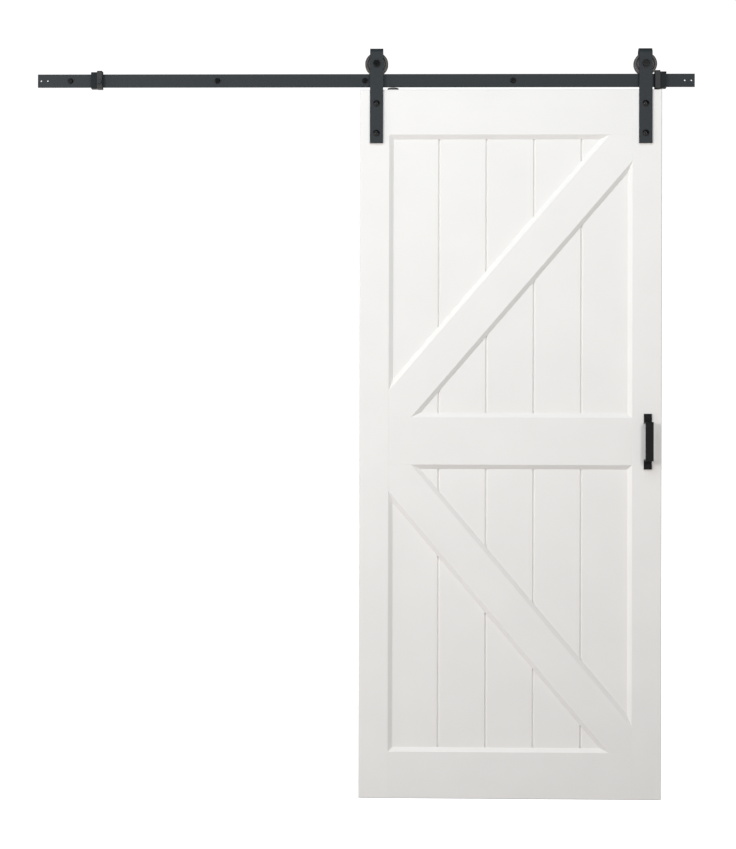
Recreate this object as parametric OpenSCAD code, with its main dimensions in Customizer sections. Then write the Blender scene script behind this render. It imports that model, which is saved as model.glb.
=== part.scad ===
// Sliding barn door: a K-braced plank leaf that hangs by two strap hangers from a flat wall rail.
// X runs along the rail, +Y into the wall, +Z up. Z = 0 is the middle of the rail's height and
// Y = 0 is the wall plane. The origin is at the middle of the row of wall screws.

/* [Rail] */
// Length of the rail
rail_len = 2000; // [1900:10:2400]
// Height of the rail bar
rail_h = 40; // [34:1:48]
// Thickness of the rail bar
rail_t = 6; // [5:0.5:8]
// Eased edge along the rail bar
rail_ease = 0.6; // [0.2:0.1:1]
// Number of wall screws
wall_screw_count = 5; // [3:1:7]
// Distance from each rail end to the first wall screw
wall_screw_end = 100; // [90:5:130]
// Diameter of the wall screws
wall_screw_d = 8; // [6:1:10]
// Length of the wall screws behind the wall plane
wall_screw_grip = 50; // [30:5:80]
// Diameter of the washers under the wall screws
wall_washer_d = 17; // [15:1:20]
// Length of the spacers between wall and rail
spacer_len = 35; // [30:1:50]
// Diameter of the spacers
spacer_d = 22; // [18:1:24]
// Diameter of the joining holes at the rail ends
link_hole_d = 5; // [4:0.5:8]
// Distance from the rail end to the first joining hole
link_hole_end = 10; // [8:1:14]
// Distance between the two joining holes
link_hole_pitch = 20; // [16:1:24]

/* [Stops] */
// Distance from the left rail end to the left stop
left_stop_end = 165; // [150:1:400]
// Distance from the right rail end to the right stop
right_stop_end = 87.5; // [70:0.5:120]
// Width of the steel stop block
block_w = 19; // [16:1:26]
// Height of the block above and below the rail
block_wall = 5; // [4:0.5:6]
// Thickness of the block in front of its screw channel
block_front = 4; // [3:0.5:6]
// Width of the rubber buffer
buffer_w = 15; // [14:0.5:24]
// Height of the buffer above the rail
buffer_top = 8; // [6:0.5:9]
// Height of the buffer below the rail
buffer_bottom = 6; // [5.5:0.5:7.5]
// Thickness of the buffer in front of its screw channel
buffer_front = 9; // [7:0.5:12]
// Thickness of the lips that hook behind the rail
lip_t = 4; // [3:0.5:5]
// Half width of the rounding on the buffer's front corners
buffer_round = 3; // [1:0.5:4]

/* [Hangers] */
// Width of the hanger straps
strap_w = 40; // [34:1:48]
// Thickness of the hanger straps
strap_t = 6; // [5:0.5:7]
// Distance from the leaf's side edge to the middle of a strap
strap_edge = 50; // [45:1:60]
// Length of strap that laps the leaf below its top edge
strap_lap = 163.5; // [150:0.5:200]
// Distance from the leaf's top edge to the upper strap bolt
strap_bolt_top = 43.5; // [35:0.5:50]
// Distance between the two strap bolts
strap_bolt_pitch = 90; // [80:1:110]
// Diameter of the strap bolts
strap_bolt_d = 8; // [6:1:10]
// Diameter of their domed heads
strap_head_d = 20; // [14:0.5:22]
// Height of their domed heads
strap_head_h = 5.5; // [4:0.5:7]
// Diameter of the wheel axles
axle_d = 12; // [10:1:12]
// Clearance between the top of a wheel and the strap's bend
bend_gap = 7.2; // [5:0.2:12]
// Length of strap below the axle behind the wheel
rear_leg = 22; // [18:1:24]

/* [Wheels] */
// Radius at the bottom of the wheel groove
roll_r = 29; // [26:0.5:32]
// Height of the wheel flanges beside the rail
flange_h = 6; // [4:0.5:7]
// Width of the wheels
wheel_w = 21; // [18:1:23]
// Side clearance of the rail in the wheel groove
groove_gap = 0.8; // [0.5:0.1:1.2]
// Clearance between the groove and the top of the rail
roll_gap = 0.3; // [0.3:0.05:0.5]
// Side clearance between wheel and strap
wheel_gap = 1.5; // [1:0.1:2.5]
// Outer diameter of the wheel bearings
bearing_od = 32; // [30:1:35]
// Width of the wheel bearings
bearing_w = 10; // [8:1:12]
// Diameter of the bearing balls
ball_d = 5.8; // [5:0.1:6]
// Number of balls in a bearing
ball_count = 9; // [6:1:10]

/* [Leaf] */
// Width of the leaf
leaf_w = 915; // [760:5:1000]
// Height of the leaf
leaf_h = 2150; // [1800:10:2500]
// Thickness of the leaf
leaf_t = 35; // [32:1:45]
// Clearance between rail and leaf
leaf_gap = 9; // [9:0.5:15]
// Face width of the two stiles
stile_w = 89; // [80:1:110]
// Face width of the top rail
top_rail_w = 137; // [110:1:180]
// Face width of the middle rail
mid_rail_w = 143.5; // [110:0.5:180]
// Face width of the bottom rail
bottom_rail_w = 141; // [110:1:200]
// Height of the middle rail's centre above the leaf's bottom edge
mid_rail_z = 1083; // [900:1:1200]
// Face width of the two braces
brace_w = 104; // [80:1:130]
// Width of the bevel along frame and braces
bevel_w = 13; // [8:1:20]
// Depth of the planks behind the frame's face
recess = 9.5; // [7:0.5:11]
// Depth of the groove that holds the planks
groove_d = 9; // [6:0.5:12]
// Number of planks side by side
plank_count = 5; // [3:1:7]
// Width of one plank's share of the panel
plank_pitch = 144; // [100:1:150]
// Bevel on each side of a plank joint
plank_v = 4; // [2:0.5:5]
// Eased edge around the outside of the leaf
leaf_ease = 2; // [0.5:0.5:3]
// Open seam where two frame pieces meet
seam = 0.3; // [0.1:0.1:0.5]
// Diameter of the frame dowels
dowel_d = 12; // [8:1:14]
// Length of the frame dowels
dowel_len = 76; // [60:2:80]

/* [Leaf fittings] */
// Overall height of the pull handle
handle_h = 168; // [140:1:300]
// Width of the handle's flat bar
handle_w = 24; // [18:1:30]
// Thickness of the handle's flat bar
handle_t = 5; // [4:0.5:7]
// Height of each handle foot
handle_foot = 25; // [20:1:32]
// Distance from the leaf's face to the front of the grip
handle_out = 42; // [32:1:60]
// Distance from the leaf's side edge to the middle of the handle
handle_edge = 42; // [40:1:50]
// Diameter of the handle screws
handle_screw_d = 4.5; // [3.5:0.5:5]
// Diameter of the discs on the leaf's top edge
disc_d = 34; // [28:1:42]
// Thickness of the discs
disc_t = 6; // [4:0.5:7]
// Distance from the left strap's middle to its disc
disc_offset = 50; // [46:1:70]
// Diameter of the disc screws
disc_screw_d = 4.5; // [3.5:0.5:5]

/* [Hidden] */

$fn = 64;
steel = "#5a5f63";
black = "#26282a";
paint = "#eeebe6";
pine = "#c9a878";
bright = "#a9acae";

eps = 0.01;
// Radial clearances: of a pin in its hole, and of a bolt in a plate
hair = 0.05;
bolt_fit = 0.2;

// Rail plane and its faces
rail_y = -(spacer_len + rail_t / 2);
rail_front = rail_y - rail_t / 2;
rail_back = rail_y + rail_t / 2;
rail_top = rail_h / 2;
rail_end = rail_len / 2;
wall_pitch = (rail_len - 2 * wall_screw_end) / (wall_screw_count - 1);
wall_hole_d = wall_screw_d + 1;
hex_af = wall_screw_d * 13 / 8;
hex_h = wall_screw_d * 5.3 / 8;
washer_t = 1.6;

// Wheels and hangers
flange_r = roll_r + flange_h;
axle_z = rail_top + roll_r + roll_gap;
strap_in = wheel_w / 2 + wheel_gap;
strap_out = strap_in + strap_t;
bend_z = axle_z + flange_r + bend_gap - strap_in;
axle_af = axle_d * 19 / 12;
axle_head_h = axle_d * 7.5 / 12;
axle_nut_h = axle_d * 10 / 12;
axle_tail = 2;
race_t = 3;
ball_gap = 0.35;
sleeve_len = strap_in - bearing_w / 2;
ball_ring_r = (bearing_od / 2 + axle_d / 2) / 2;
shield_t = 0.6;
ball_r = ball_d / 2;

// Stops
head_gap = 1.1;
head_room = hex_h + washer_t + head_gap;
channel_h = wall_washer_d / 2 + 0.75;
rear_open = spacer_d / 2 + 2;
block_h = rail_h / 2 + block_wall;
block_y = rail_front - head_room - block_front;
buffer_y = rail_front - head_room - buffer_front;
lip_y = rail_back + lip_t;
slot_gap = 0.3;
grub_d = 6;
pin_d = 4;
pin_len = 20;
pin_z = (channel_h + rail_h / 2) / 2;
pin_y = (rail_front + block_y) / 2;
buffer_screw_z = -6;
left_buffer_face = -rail_end + left_stop_end + block_w + buffer_w;
right_buffer_face = rail_end - right_stop_end - block_w - buffer_w;

// The leaf rests with its right wheel against the right buffer
stop_gap = 0.3;
buffer_top_z = rail_h / 2 + buffer_top;
contact_dx = sqrt(pow(flange_r, 2) - pow(axle_z - buffer_top_z, 2));
right_axle_x = right_buffer_face - contact_dx - stop_gap;
axle_span = leaf_w - 2 * strap_edge;
left_axle_x = right_axle_x - axle_span;
axle_xs = [left_axle_x, right_axle_x];

// Leaf
leaf_x = left_axle_x - strap_edge;
leaf_y = rail_y - strap_in;
leaf_top = -rail_h / 2 - leaf_gap;
leaf_z = leaf_top - leaf_h;
bevel_lip = 0.5;
bevel_d = recess - bevel_lip;
brace_lip = 0.3;
plank_fit = 0.1;
plank_end_gap = 1;
top_arris = leaf_h - top_rail_w;
mid_top_arris = mid_rail_z + mid_rail_w / 2;
mid_low_arris = mid_rail_z - mid_rail_w / 2;
opening_w = leaf_w - 2 * stile_w;
tongue = 6;
tongue_t = 5;
tongue_fit = 0.2;
plank_seam = 0.2;
dowel_x = stile_w + bevel_w - groove_d - dowel_len / 2 + 4;
dowel_inset = 40;
dowel_fit = 0.1;
strap_bolt_zs = [leaf_h - strap_bolt_top, leaf_h - strap_bolt_top - strap_bolt_pitch];
strap_af = strap_bolt_d * 13 / 8;
strap_nut_h = strap_bolt_d * 0.8;
strap_washer_t = 1.6;
strap_washer_d = strap_bolt_d * 17 / 8;
strap_bolt_tail = 1.5;

// Leaf fittings
handle_x = leaf_w - handle_edge;
handle_z = mid_rail_z;
handle_round = 3;
handle_screw_in = 11;
handle_screw_len = 30;
disc_y = disc_d / 2 + 0.5;
disc_xs = [strap_edge + disc_offset, leaf_w - strap_edge];
disc_screw_len = 34;
csk = 2;

// ---------- shared shapes ----------

// A hexagonal head with a turned chamfer, standing on z = 0
module hex_head(af, h) {
    corner = af / sqrt(3);
    crown = af * 0.475;
    slope = tan(30);
    intersection() {
        cylinder(r = corner, h = h, $fn = 6);
        rotate_extrude()
            polygon([[0, 0], [corner + 1, 0], [corner + 1, h - (corner + 1 - crown) * slope],
                     [crown, h], [0, h]]);
    }
}

// A domed head with a short straight rim, standing on z = 0
module domed_head(d, h) {
    rim = 1;
    rise = h - rim;
    ball = (pow(d / 2, 2) + pow(rise, 2)) / (2 * rise);
    rotate_extrude()
        intersection() {
            square([d / 2, h]);
            translate([0, h - ball])
                circle(r = ball, $fn = 256);
        }
}

// A nut with a clear thread hole, standing on z = 0
module hex_nut(af, h, d) {
    difference() {
        hex_head(af, h);
        translate([0, 0, -1])
            cylinder(d = d + 2 * hair, h = h + 2);
    }
}

// A ring standing on z = 0
module ring(od, id, h) {
    difference() {
        cylinder(d = od, h = h);
        translate([0, 0, -1])
            cylinder(d = id, h = h + 2);
    }
}

// Turns a shape that stands on z = 0 so that it points to the front
module to_front() {
    rotate([90, 0, 0])
        children();
}

// Turns a shape that stands on z = 0 so that it points to the wall
module to_wall() {
    rotate([-90, 0, 0])
        children();
}

// A cylinder along Y that starts at y and points to the wall
module bore_y(x, y, z, d, len) {
    translate([x, y, z])
        to_wall()
            cylinder(d = d, h = len);
}

// Places a shape at each wall screw
module at_wall_screws() {
    for (i = [0 : wall_screw_count - 1])
        translate([-rail_end + wall_screw_end + i * wall_pitch, 0, 0])
            children();
}

// Places a shape in the leaf's own frame: x from its left edge, y from its face, z from its bottom
module in_leaf() {
    translate([leaf_x, leaf_y, leaf_z])
        children();
}

// Extrudes a [depth, height] outline along X
module along_x(x, len) {
    translate([x, 0, 0])
        rotate([90, 0, 90])
            linear_extrude(height = len)
                children();
}

// ---------- rail and wall fixings ----------

module rail() {
    color(steel)
        difference() {
            along_x(-rail_end, rail_len)
                polygon([
                    [rail_front, rail_ease - rail_top], [rail_front + rail_ease, -rail_top],
                    [rail_back - rail_ease, -rail_top], [rail_back, rail_ease - rail_top],
                    [rail_back, rail_top - rail_ease], [rail_back - rail_ease, rail_top],
                    [rail_front + rail_ease, rail_top], [rail_front, rail_top - rail_ease]
                ]);
            at_wall_screws()
                bore_y(0, rail_front - 1, 0, wall_hole_d, rail_t + 2);
            for (side = [-1, 1], i = [0, 1])
                bore_y(side * (rail_end - link_hole_end - i * link_hole_pitch), rail_front - 1, 0,
                       link_hole_d, rail_t + 2);
        }
}

module wall_spacers() {
    color(steel)
        at_wall_screws()
            to_front()
                ring(spacer_d, wall_hole_d, spacer_len);
}

module wall_washers() {
    color(black)
        at_wall_screws()
            translate([0, rail_front, 0])
                to_front()
                    ring(wall_washer_d, wall_screw_d + 2 * bolt_fit, washer_t);
}

// A lag screw: hexagonal head, plain shank, and a thicker threaded end with a pointed tip
module wall_screws() {
    shank = rail_t + spacer_len + washer_t;
    shank_r = wall_screw_d * 7 / 16;
    tip = shank + wall_screw_grip;
    color(black)
        at_wall_screws()
            translate([0, rail_front - washer_t, 0]) {
                to_front()
                    hex_head(hex_af, hex_h);
                to_wall()
                    rotate_extrude()
                        polygon([[0, -eps], [shank_r, -eps], [shank_r, shank],
                                 [wall_screw_d / 2, shank], [wall_screw_d / 2, tip - wall_screw_d],
                                 [0, tip]]);
            }
}

// ---------- stops ----------

// A jaw around the rail, open at the back, with a channel that clears the wall screw heads
module stop_jaw(x, w, up, down, front) {
    difference() {
        along_x(x, w)
            polygon([
                [front + buffer_round, -down], [lip_y, -down],
                [lip_y, -rear_open], [rail_back + slot_gap, -rear_open],
                [rail_back + slot_gap, -rail_top - slot_gap],
                [rail_front - slot_gap, -rail_top - slot_gap],
                [rail_front - slot_gap, -channel_h], [rail_front - head_room, -channel_h],
                [rail_front - head_room, channel_h], [rail_front - slot_gap, channel_h],
                [rail_front - slot_gap, rail_top + slot_gap],
                [rail_back + slot_gap, rail_top + slot_gap],
                [rail_back + slot_gap, rear_open], [lip_y, rear_open],
                [lip_y, up], [front + buffer_round, up],
                [front, up - buffer_round], [front, buffer_round - down]
            ]);
        for (z = [-pin_z, pin_z])
            translate([x - 1, pin_y, z])
                rotate([0, 90, 0])
                    cylinder(d = pin_d + 2 * hair, h = w + 2);
    }
}

// The steel block with its clamp hole underneath
module stop_block(x) {
    color(steel)
        difference() {
            stop_jaw(x, block_w, block_h, block_h, block_y);
            translate([x + block_w / 2, rail_y, -block_h - 1])
                cylinder(d = grub_d + 2 * hair, h = block_wall + 2);
        }
}

module left_stop_block() {
    stop_block(-rail_end + left_stop_end);
}

module right_stop_block() {
    stop_block(right_buffer_face + buffer_w);
}

module stop_buffer(x) {
    stop_jaw(x, buffer_w, buffer_top_z, rail_h / 2 + buffer_bottom, buffer_y);
}

module left_stop_buffer() {
    color(steel)
        difference() {
            stop_buffer(left_buffer_face - buffer_w);
            bore_y(left_buffer_face - buffer_w / 2, buffer_y - 1, buffer_screw_z,
                   wall_screw_d + 2 * hair, buffer_front + head_room + 2);
        }
}

module right_stop_buffer() {
    color(steel)
        stop_buffer(right_buffer_face);
}

// A hexagonal screw through the buffer's face that bears on the rail
module left_buffer_screw() {
    color(steel)
        translate([left_buffer_face - buffer_w / 2, buffer_y, buffer_screw_z]) {
            to_front()
                hex_head(hex_af, hex_h);
            to_wall()
                translate([0, 0, -eps])
                    cylinder(d = wall_screw_d, h = buffer_front + head_room - hair);
        }
}

// Pins along X that hold each buffer on its block
module buffer_pins() {
    color(bright)
        for (x = [left_buffer_face - buffer_w, right_buffer_face + buffer_w], z = [-pin_z, pin_z])
            translate([x - pin_len / 2, pin_y, z])
                rotate([0, 90, 0])
                    cylinder(d = pin_d, h = pin_len);
}

// Grub screws that clamp each block to the rail from below
module stop_grub_screws() {
    color(black)
        for (x = [-rail_end + left_stop_end, right_buffer_face + buffer_w])
            translate([x + block_w / 2, rail_y, -block_h])
                difference() {
                    cylinder(d = grub_d, h = block_wall - hair);
                    translate([0, 0, -1])
                        cylinder(d = grub_d / 2, h = block_wall - 1, $fn = 6);
                }
}

// ---------- hangers ----------

// The strap's outline in [Y, Z], bent over the wheel
module strap_outline() {
    tail = leaf_top - strap_lap;
    translate([rail_y, bend_z])
        intersection() {
            difference() {
                circle(r = strap_out);
                circle(r = strap_in);
            }
            translate([-strap_out - 1, 0])
                square([2 * strap_out + 2, strap_out + 1]);
        }
    translate([rail_y - strap_out, tail])
        square([strap_t, bend_z - tail]);
    translate([rail_y + strap_in, axle_z - rear_leg])
        square([strap_t, bend_z - axle_z + rear_leg]);
}

module strap(axle_x) {
    color(steel)
        difference() {
            along_x(axle_x - strap_w / 2, strap_w)
                strap_outline();
            bore_y(axle_x, rail_y - strap_out - 1, axle_z, axle_d + 2 * hair, 2 * strap_out + 2);
            for (z = strap_bolt_zs)
                bore_y(axle_x, rail_y - strap_out - 1, leaf_z + z, strap_bolt_d + 2 * bolt_fit, strap_t + 2);
        }
}

module left_strap() {
    strap(left_axle_x);
}

module right_strap() {
    strap(right_axle_x);
}

module axle_bolts() {
    shank = 2 * strap_out + axle_nut_h + axle_tail;
    color(black)
        for (x = axle_xs)
            translate([x, rail_y - strap_out, axle_z]) {
                to_front()
                    hex_head(axle_af, axle_head_h);
                to_wall()
                    translate([0, 0, -eps])
                        cylinder(d = axle_d, h = shank);
            }
}

module axle_nuts() {
    color(black)
        for (x = axle_xs)
            translate([x, rail_y + strap_out, axle_z])
                to_wall()
                    hex_nut(axle_af, axle_nut_h, axle_d);
}

// Sleeves that hold the bearing midway between the strap's legs
module axle_sleeves() {
    color(bright)
        for (x = axle_xs, y = [rail_y - strap_in, rail_y + bearing_w / 2])
            translate([x, y, axle_z])
                to_wall()
                    ring(axle_d + 2 * race_t, axle_d + 2 * hair, sleeve_len);
}

// Places a shape at each strap bolt, on the plane y of the leaf's frame
module at_strap_bolts(y) {
    in_leaf()
        for (x = [strap_edge, leaf_w - strap_edge], z = strap_bolt_zs)
            translate([x, y, z])
                children();
}

module strap_bolts() {
    shank = strap_t + leaf_t + strap_washer_t + strap_nut_h + strap_bolt_tail;
    color(black)
        at_strap_bolts(-strap_t) {
            to_front()
                domed_head(strap_head_d, strap_head_h);
            to_wall()
                translate([0, 0, -eps])
                    cylinder(d = strap_bolt_d, h = shank);
        }
}

module strap_washers() {
    color(black)
        at_strap_bolts(leaf_t)
            to_wall()
                ring(strap_washer_d, strap_bolt_d + 2 * bolt_fit, strap_washer_t);
}

module strap_nuts() {
    color(black)
        at_strap_bolts(leaf_t + strap_washer_t)
            to_wall()
                hex_nut(strap_af, strap_nut_h, strap_bolt_d);
}

// ---------- wheels and bearings ----------

// Places a turned shape, drawn as [radius, offset along the axle], on one axle
module on_axle(axle_x) {
    translate([axle_x, rail_y, axle_z])
        to_wall()
            rotate_extrude($fn = 128)
                children();
}

// A grooved wheel with dished faces
module wheel(axle_x) {
    half = wheel_w / 2;
    groove = rail_t / 2 + groove_gap;
    dish_in = bearing_od / 2 + 3;
    dish_out = roll_r - 1;
    dish = 2.5;
    cham = 2;
    color(steel)
        on_axle(axle_x)
            polygon([
                [bearing_od / 2 + hair, -half], [dish_in, -half],
                [dish_in + dish, dish - half], [dish_out - dish, dish - half],
                [dish_out, -half], [flange_r - cham, -half],
                [flange_r, cham - half], [flange_r, -groove - cham],
                [roll_r, -groove], [roll_r, groove],
                [flange_r, groove + cham], [flange_r, half - cham],
                [flange_r - cham, half], [dish_out, half],
                [dish_out - dish, half - dish], [dish_in + dish, half - dish],
                [dish_in, half], [bearing_od / 2 + hair, half]
            ]);
}

module bearing_outer_ring(axle_x) {
    color(bright)
        on_axle(axle_x)
            difference() {
                translate([bearing_od / 2 - race_t, -bearing_w / 2])
                    square([race_t, bearing_w]);
                translate([ball_ring_r, 0])
                    circle(r = ball_r + hair);
            }
}

module bearing_inner_ring(axle_x) {
    color(bright)
        on_axle(axle_x)
            difference() {
                translate([axle_d / 2 + hair, -bearing_w / 2])
                    square([race_t - hair, bearing_w]);
                translate([ball_ring_r, 0])
                    circle(r = ball_r + ball_gap);
            }
}

module bearing_balls(axle_x) {
    color(bright)
        for (i = [0 : ball_count - 1])
            translate([axle_x, rail_y, axle_z])
                rotate([0, i * 360 / ball_count, 0])
                    translate([ball_ring_r, 0, 0])
                        sphere(r = ball_r);
}

module bearing_shields(axle_x) {
    inner_r = axle_d / 2 + race_t + ball_gap;
    outer_r = bearing_od / 2 - race_t - hair;
    color(black)
        for (side = [-1, 1])
            on_axle(axle_x)
                translate([inner_r, side * (bearing_w / 2 - shield_t) - shield_t / 2])
                    square([outer_r - inner_r, shield_t]);
}

module left_wheel() {
    wheel(left_axle_x);
}

module left_bearing_outer_ring() {
    bearing_outer_ring(left_axle_x);
}

module left_bearing_balls() {
    bearing_balls(left_axle_x);
}

module left_bearing_shields() {
    bearing_shields(left_axle_x);
}

module left_bearing_inner_ring() {
    bearing_inner_ring(left_axle_x);
}

module right_wheel() {
    wheel(right_axle_x);
}

module right_bearing_outer_ring() {
    bearing_outer_ring(right_axle_x);
}

module right_bearing_balls() {
    bearing_balls(right_axle_x);
}

module right_bearing_shields() {
    bearing_shields(right_axle_x);
}

module right_bearing_inner_ring() {
    bearing_inner_ring(right_axle_x);
}

// ---------- leaf: frame ----------

// Front to back outline of a bevelled and grooved edge at s that faces direction dir
function inner_edge(s, dir) = [
    [s, 0], [s + dir * bevel_w, bevel_d], [s + dir * bevel_w, recess],
    [s + dir * (bevel_w - groove_d), recess], [s + dir * (bevel_w - groove_d), leaf_t - recess],
    [s + dir * bevel_w, leaf_t - recess], [s + dir * bevel_w, leaf_t - bevel_d], [s, leaf_t]
];

// Back to front outline of an eased outer edge at s, with the wood on the side of direction dir
function outer_edge(s, dir) = [
    [s + dir * leaf_ease, leaf_t], [s, leaf_t - leaf_ease],
    [s, leaf_ease], [s + dir * leaf_ease, 0]
];

// The points of an outline with its two coordinates swapped
function swapped(points) = [for (p = points) [p[1], p[0]]];

// The points of an outline in the opposite order
function reversed(points) = [for (i = [len(points) - 1 : -1 : 0]) points[i]];

module stile_body() {
    linear_extrude(height = leaf_h)
        polygon(concat(inner_edge(stile_w, 1), outer_edge(0, 1)));
}

// Mirrors a shape across the middle of the leaf
module on_right() {
    translate([leaf_w, 0, 0])
        mirror([1, 0, 0])
            children();
}

// The leaf's whole block, eased at top and bottom
module leaf_block() {
    along_x(-1, leaf_w + 2)
        polygon(swapped(concat(outer_edge(leaf_h, -1), reversed(outer_edge(0, 1)))));
}

// Height of each dowel above the leaf's bottom edge
function dowel_zs() = [
    dowel_inset, bottom_rail_w - dowel_inset,
    mid_rail_z - mid_rail_w / 2 + dowel_inset, mid_rail_z + mid_rail_w / 2 - dowel_inset,
    leaf_h - top_rail_w + dowel_inset, leaf_h - dowel_inset
];

// Dowels, or their holes where fit is above zero
module dowels(fit) {
    for (z = dowel_zs(), x = [dowel_x, leaf_w - dowel_x - dowel_len])
        translate([x - 5 * fit, leaf_t / 2, z])
            rotate([0, 90, 0])
                cylinder(d = dowel_d + 2 * fit, h = dowel_len + 10 * fit);
}

// One stile, drawn as the left one, with the holes for its strap bolts
module stile() {
    difference() {
        intersection() {
            stile_body();
            leaf_block();
        }
        for (z = strap_bolt_zs)
            bore_y(strap_edge, -1, z, strap_bolt_d + 2 * bolt_fit, leaf_t + 2);
    }
}

module left_stile() {
    color(paint)
        in_leaf()
            difference() {
                stile();
                dowels(dowel_fit);
            }
}

module right_stile() {
    color(paint)
        in_leaf()
            difference() {
                on_right()
                    stile();
                dowels(dowel_fit);
                handle_screw_holes();
                disc_screw_hole(disc_xs[1]);
            }
}

// A cross rail from its outline in [height, depth], coped over both stiles
module cross_rail(points) {
    difference() {
        along_x(stile_w, opening_w)
            polygon(swapped(points));
        translate([seam, 0, -1])
            stile_cutter();
        on_right()
            translate([seam, 0, -1])
                stile_cutter();
        dowels(dowel_fit);
    }
}

// A stile that is longer than the leaf, for coping the rails
module stile_cutter() {
    linear_extrude(height = leaf_h + 2)
        polygon(concat(inner_edge(stile_w, 1), [[-1, leaf_t + 1], [-1, -1], [stile_w, -1]]));
}

module top_rail() {
    color(paint)
        in_leaf()
            difference() {
                cross_rail(concat(inner_edge(top_arris, -1), outer_edge(leaf_h, -1)));
                disc_screw_hole(disc_xs[0]);
            }
}

module mid_rail() {
    color(paint)
        in_leaf()
            cross_rail(concat(inner_edge(mid_top_arris, 1), reversed(inner_edge(mid_low_arris, -1))));
}

module bottom_rail() {
    color(paint)
        in_leaf()
            cross_rail(concat(inner_edge(bottom_rail_w, 1), outer_edge(0, 1)));
}

module frame_dowels() {
    color(pine)
        in_leaf()
            dowels(0);
}

// ---------- leaf: braces ----------

// Outline in [across, depth] of the space between two bevelled edges at a and b
function between(a, b) = [
    [a + seam, 0], [b - seam, 0], [b - bevel_w - seam, bevel_d],
    [b - bevel_w - seam, recess], [a + bevel_w + seam, recess], [a + bevel_w + seam, bevel_d]
];

// A bevelled brace along the diagonal of the opening between heights low and high
module brace(low, high, rising) {
    height = high - low;
    angle = atan2(height, opening_w);
    reach = sqrt(pow(height, 2) + pow(opening_w, 2));
    half = brace_w / 2;
    base = half + bevel_w;
    slope_end = recess - brace_lip;
    intersection() {
        translate([leaf_w / 2, 0, (low + high) / 2])
            rotate([0, rising ? -angle : angle, 0])
                along_x(-reach, 2 * reach)
                    polygon([[0, -half], [0, half], [slope_end, base], [recess, base],
                             [recess, -base], [slope_end, -base]]);
        translate([0, 0, low - 1])
            linear_extrude(height = height + 2)
                polygon(between(stile_w, leaf_w - stile_w));
        along_x(0, leaf_w)
            polygon(swapped(between(low, high)));
    }
}

module upper_brace() {
    color(paint)
        in_leaf()
            brace(mid_top_arris, top_arris, true);
}

module lower_brace() {
    color(paint)
        in_leaf()
            brace(bottom_rail_w, mid_low_arris, false);
}

// ---------- leaf: planks ----------

// Outline of plank i in [across, depth]: bevelled joints, a groove at its left and a tongue at its right
module plank_outline(i) {
    panel_half = opening_w / 2 - bevel_w + groove_d - plank_end_gap;
    first = i == 1;
    last = i == plank_count;
    x0 = leaf_w / 2 + (first ? -panel_half : (i - 1 - plank_count / 2) * plank_pitch + plank_seam / 2);
    x1 = leaf_w / 2 + (last ? panel_half : (i - plank_count / 2) * plank_pitch - plank_seam / 2);
    front = recess + plank_fit;
    back = leaf_t - recess - plank_fit;
    mid = leaf_t / 2;
    slot = tongue_t / 2 + tongue_fit;
    left_joint = [
        [x0 + plank_v, back], [x0, back - plank_v], [x0, mid + slot],
        [x0 + tongue + tongue_fit, mid + slot], [x0 + tongue + tongue_fit, mid - slot],
        [x0, mid - slot], [x0, front + plank_v], [x0 + plank_v, front]
    ];
    right_joint = [
        [x1 - plank_v, front], [x1, front + plank_v], [x1, mid - tongue_t / 2],
        [x1 + tongue, mid - tongue_t / 2], [x1 + tongue, mid + tongue_t / 2],
        [x1, mid + tongue_t / 2], [x1, back - plank_v], [x1 - plank_v, back]
    ];
    polygon(concat(first ? [[x0, back], [x0, front]] : left_joint,
                   last ? [[x1, front], [x1, back]] : right_joint));
}

// Plank i between the bevelled edges at heights low and high
module plank(i, low, high) {
    inset = bevel_w - groove_d + plank_end_gap;
    color(paint)
        in_leaf()
            translate([0, 0, low + inset])
                linear_extrude(height = high - low - 2 * inset)
                    plank_outline(i);
}

module upper_plank(i) {
    plank(i, mid_top_arris, top_arris);
}

module lower_plank(i) {
    plank(i, bottom_rail_w, mid_low_arris);
}

// ---------- leaf fittings ----------

// A rectangle with round corners of radius r, from [x0, y0] to [x1, y1]
module round_rect(x0, y0, x1, y1, r) {
    translate([x0 + r, y0])
        square([x1 - x0 - 2 * r, y1 - y0]);
    translate([x0, y0 + r])
        square([x1 - x0, y1 - y0 - 2 * r]);
    for (x = [x0 + r, x1 - r], y = [y0 + r, y1 - r])
        translate([x, y])
            circle(r = r);
}

// A flat bar bent out from two feet, drawn in [depth, height] about its own middle
module handle_outline() {
    half = handle_h / 2;
    arch = half - handle_foot;
    difference() {
        round_rect(-handle_out, -arch, handle_round, arch, handle_round);
        round_rect(handle_t - handle_out, handle_t - arch, 2 * handle_round, arch - handle_t, handle_round / 2);
        translate([0, -half])
            square([2 * handle_round, 2 * half]);
    }
    for (z = [-half, arch - handle_t])
        translate([-handle_t, z])
            square([handle_t, handle_foot + handle_t]);
}

// Height of the two handle screws in the leaf's frame
function handle_screw_zs() = [
    handle_z - handle_h / 2 + handle_screw_in, handle_z + handle_h / 2 - handle_screw_in
];

module pull_handle() {
    color(black)
        in_leaf()
            difference() {
                along_x(handle_x - handle_w / 2, handle_w)
                    translate([0, handle_z])
                        handle_outline();
                for (z = handle_screw_zs())
                    translate([handle_x, -handle_t, z])
                        to_wall()
                            countersunk_hole(handle_screw_d, handle_t);
            }
}

// A countersunk hole from z = 0 down through a plate of thickness t
module countersunk_hole(d, t) {
    rotate_extrude()
        polygon([[0, -1], [d + 2 * hair, -1], [d + 2 * hair, 0], [d / 2 + 2 * hair, d / 2],
                 [d / 2 + 2 * hair, t + 1], [0, t + 1]]);
}

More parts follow.
